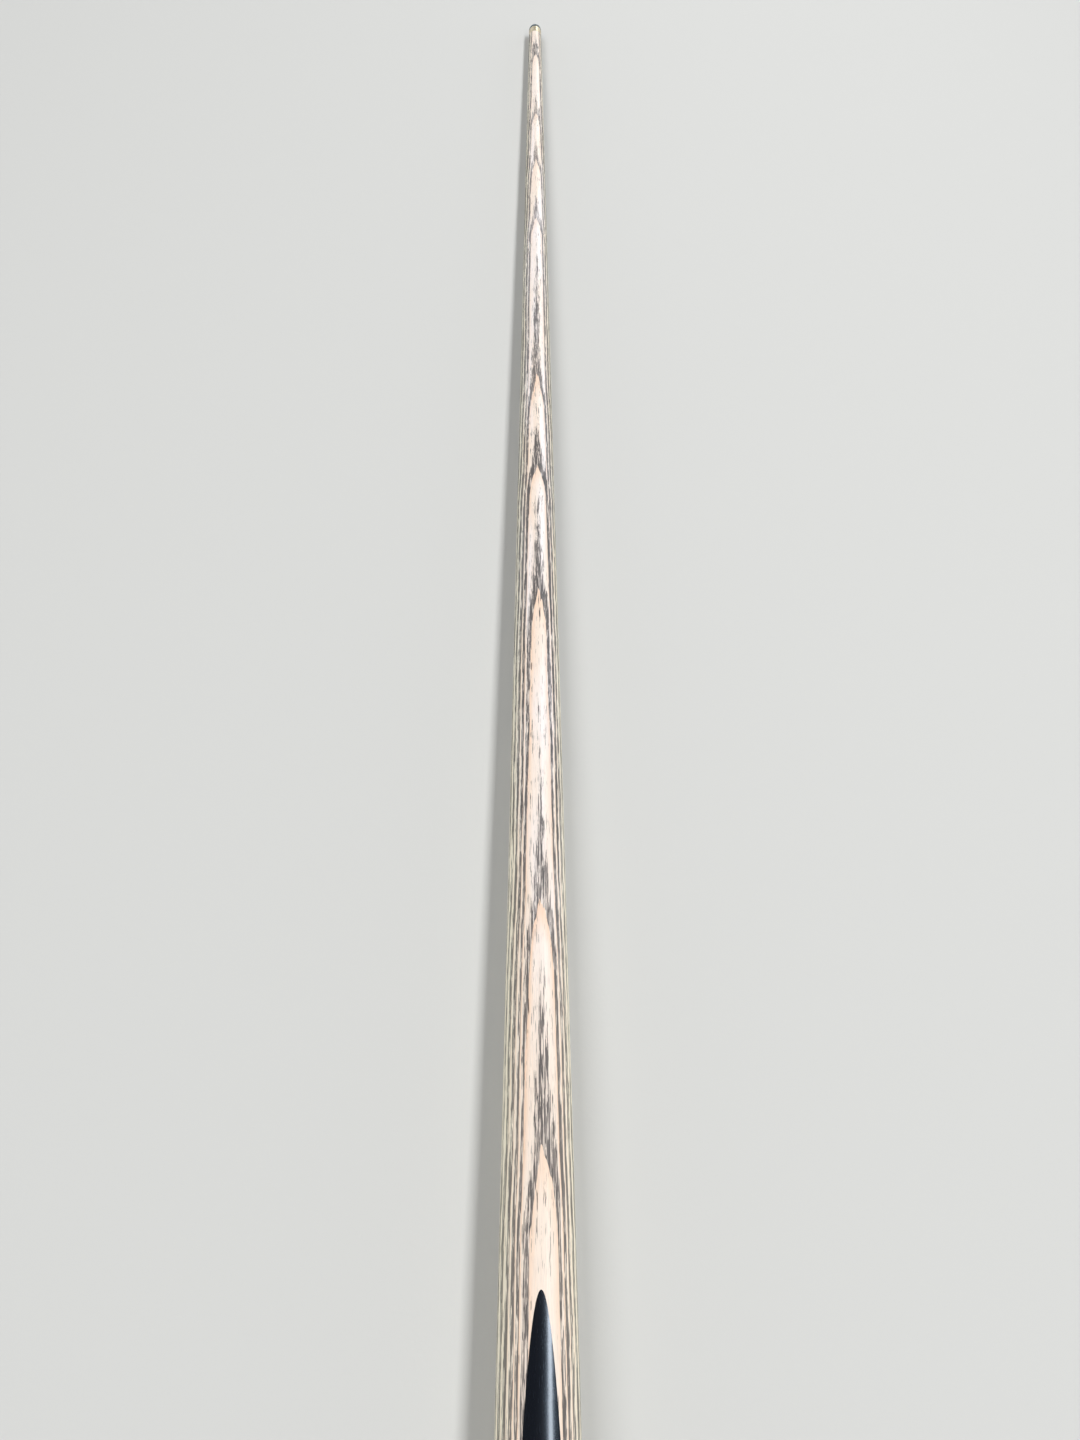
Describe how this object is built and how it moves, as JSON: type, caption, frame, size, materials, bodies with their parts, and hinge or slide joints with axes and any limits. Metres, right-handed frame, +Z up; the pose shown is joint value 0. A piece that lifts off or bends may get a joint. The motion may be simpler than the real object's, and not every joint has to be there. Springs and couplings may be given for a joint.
{
  "type": "billiard cue",
  "caption": "Slender tapered wooden cue with a leather tip, a metal ferrule, spliced dark points in a pale shaft, a screw joint near the butt and a rubber-ringed butt end.",
  "frame": {"origin": "on the cue's axis, in the plane of the rubber face at the butt end", "axes": "+Y along the cue from butt to tip; +Z up, towards the flat and its badge; +X completes the right-handed frame"},
  "size_m": [0.029, 1.46, 0.0284],
  "materials": {
    "ash": "satin oiled",
    "ebony": "polished",
    "veneer_maple": "polished",
    "veneer_rosewood": "polished",
    "ferrule_brass": "polished",
    "joint_brass": "turned and polished",
    "badge_brass": "brushed",
    "weight_metal": "dull",
    "rubber": "matt",
    "tip_leather": "chalked",
    "tip_fibre": "smooth"
  },
  "bodies": {
    "butt": {"ash_core": "ash", "butt_splice_front": "ebony", "butt_splice_back": "ebony", "butt_splice_left": "ebony", "butt_splice_right": "ebony", "veneer_light": "veneer_maple", "veneer_dark": "veneer_rosewood", "butt_facing": "ebony", "badge_plate": "badge_brass", "balance_weight": "weight_metal", "extension_socket": "joint_brass", "butt_bumper": "rubber", "butt_joint_collar": "joint_brass", "joint_pin": "joint_brass"},
    "joint_sleeve": {"shaft_joint_collar": "joint_brass"},
    "shaft": {"ash_shaft": "ash", "shaft_splice_front": "ebony", "shaft_splice_back": "ebony", "shaft_splice_left": "ebony", "shaft_splice_right": "ebony", "ferrule": "ferrule_brass", "tip_pad": "tip_fibre", "cue_tip": "tip_leather"}
  },
  "joints": [
    {"name": "joint_travel", "type": "slide", "parent": "butt", "child": "joint_sleeve", "axis": [0, 1, 0], "range_m": [0, 0.0275]},
    {"name": "joint_turn", "type": "hinge", "parent": "joint_sleeve", "child": "shaft", "pos_m": [0, 0.368, 0], "axis": [0, 1, 0], "range_deg": [0, 3960]}
  ],
  "couplings": [
    {"joint": "joint_turn", "follows": "joint_travel", "rad_per_m": 2513.3}
  ]
}
